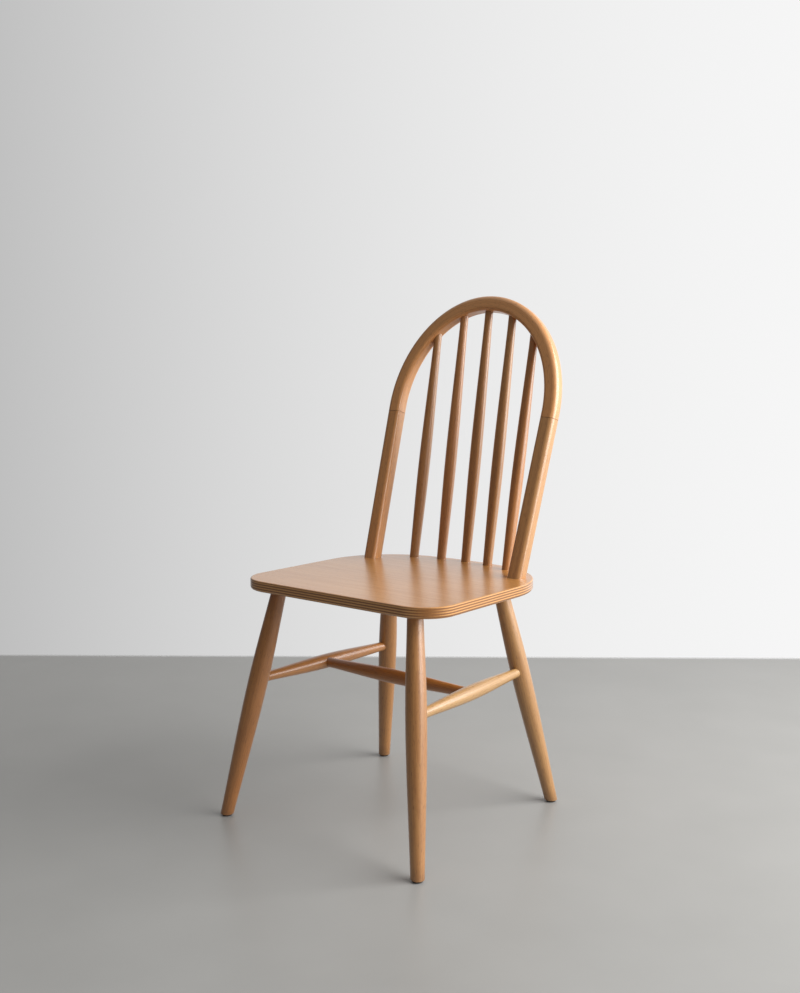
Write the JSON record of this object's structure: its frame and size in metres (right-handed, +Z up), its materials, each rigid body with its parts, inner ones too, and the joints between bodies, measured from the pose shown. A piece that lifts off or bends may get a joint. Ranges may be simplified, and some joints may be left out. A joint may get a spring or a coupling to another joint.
{
  "type": "hoop-back dining chair",
  "caption": "Wooden dining chair with a plywood seat, a hooped spindle back and splayed turned legs joined by an H-shaped stretcher, for sitting at a table.",
  "frame": {"origin": "on the floor under the middle of the outer box", "axes": "+Z up, front of the chair towards -Y, +X to the chair's right as seen from the front"},
  "size_m": [0.4782, 0.55, 0.9798],
  "materials": {
    "seat_plywood": "satin lacquer",
    "turned_wood": "satin lacquer",
    "bow_wood": "satin lacquer",
    "dowel_wood": "bare",
    "glide_plastic": "matt"
  },
  "bodies": {
    "root": {"seat": "seat_plywood", "centre_stretcher": "turned_wood", "bow_arch": "bow_wood", "leg_front_left": "turned_wood", "glide_front_left": "glide_plastic", "leg_rear_left": "turned_wood", "glide_rear_left": "glide_plastic", "side_stretcher_left": "turned_wood", "bow_post_left": "bow_wood", "leg_front_right": "turned_wood", "glide_front_right": "glide_plastic", "leg_rear_right": "turned_wood", "glide_rear_right": "glide_plastic", "side_stretcher_right": "turned_wood", "bow_post_right": "bow_wood", "spindle_far_left": "turned_wood", "spindle_left": "turned_wood", "spindle_centre": "turned_wood", "spindle_right": "turned_wood", "spindle_far_right": "turned_wood", "splice_dowels": "dowel_wood"}
  },
  "joints": []
}
